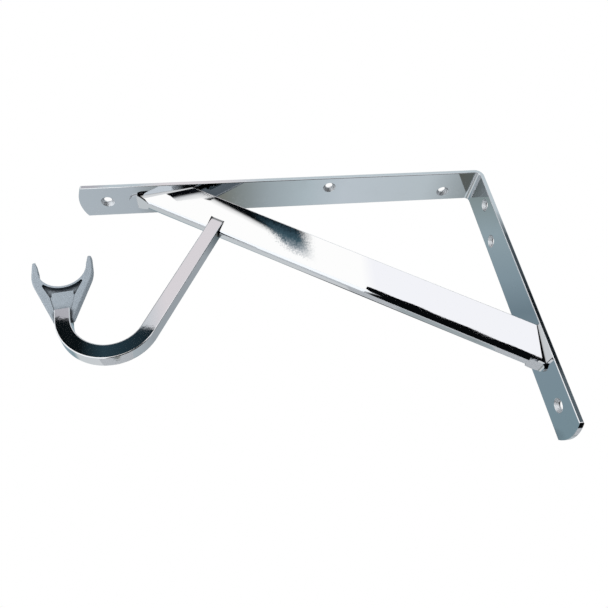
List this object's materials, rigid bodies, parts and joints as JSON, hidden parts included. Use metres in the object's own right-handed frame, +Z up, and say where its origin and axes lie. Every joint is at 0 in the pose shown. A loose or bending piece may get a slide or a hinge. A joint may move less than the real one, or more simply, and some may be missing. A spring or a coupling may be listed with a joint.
{
  "type": "shelf and rod bracket",
  "caption": "Chrome angle bracket with a folded diagonal brace and a bar hook that ends in a plastic fork, to carry a shelf above a hanging rod.",
  "frame": {"origin": "on the wall face, on the axis of the lowest wall screw", "axes": "+X out from the wall along the shelf arm, +Z up, Y along the wall"},
  "size_m": [0.294, 0.0254, 0.188],
  "materials": {
    "chrome_plate": "bright nickel-chrome plate on steel",
    "grey_plastic": "satin, moulded"
  },
  "bodies": {
    "root": {"angle_frame": "chrome_plate", "brace": "chrome_plate", "rod_hook": "chrome_plate", "rod_cradle": "grey_plastic"}
  },
  "joints": []
}
